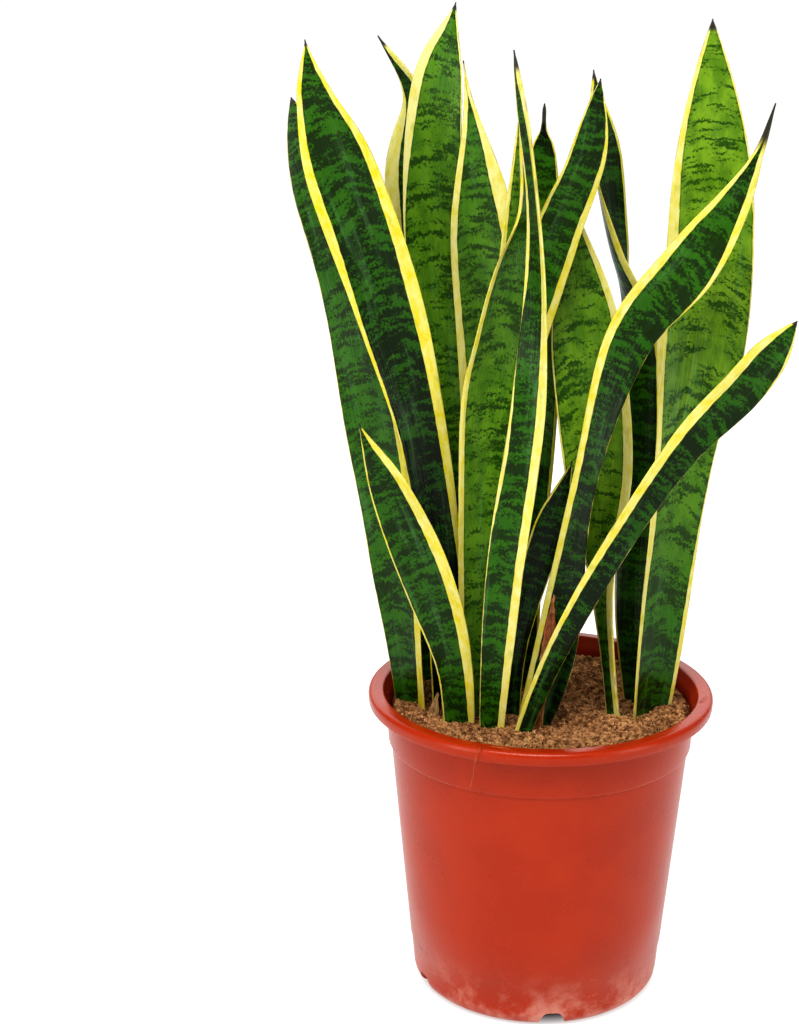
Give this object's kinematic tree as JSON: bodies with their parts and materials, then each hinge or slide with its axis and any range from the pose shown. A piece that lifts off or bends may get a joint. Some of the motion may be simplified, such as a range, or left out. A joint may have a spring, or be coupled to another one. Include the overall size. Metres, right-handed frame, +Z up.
{
  "type": "potted snake plant",
  "caption": "Snake plant with tall banded, yellow-edged sword leaves in a round tapered nursery pot with a rolled rim.",
  "frame": {"origin": "middle of the flat pad under the pot, level with the foot ring it stands on", "axes": "+Z up along the pot's axis, -Y towards the front of the plant, +X to its right as seen from the front"},
  "size_m": [0.2808, 0.21, 0.5956],
  "materials": {
    "pot_plastic": "satin",
    "potting_soil": "matte",
    "leaf": "satin",
    "dry_sheath": "matte"
  },
  "bodies": {
    "root": {"pot": "pot_plastic", "soil": "potting_soil", "leaf_far_left": "leaf", "leaf_left_broad": "leaf", "leaf_front_short": "leaf", "leaf_tall_centre_left": "leaf", "leaf_back_hooked": "leaf", "leaf_back_centre_left": "leaf", "leaf_behind_channelled": "leaf", "leaf_centre_channelled": "leaf", "leaf_front_centre": "leaf", "leaf_back_centre": "leaf", "leaf_centre_leaning": "leaf", "leaf_back_right_twisted": "leaf", "leaf_right_inner": "leaf", "leaf_arching_right": "leaf", "leaf_front_right_low": "leaf", "leaf_right_broad": "leaf", "leaf_small_inner": "leaf", "sheath_brown_tall": "dry_sheath", "sheath_straw": "dry_sheath", "sheath_brown_short": "dry_sheath"}
  },
  "joints": []
}
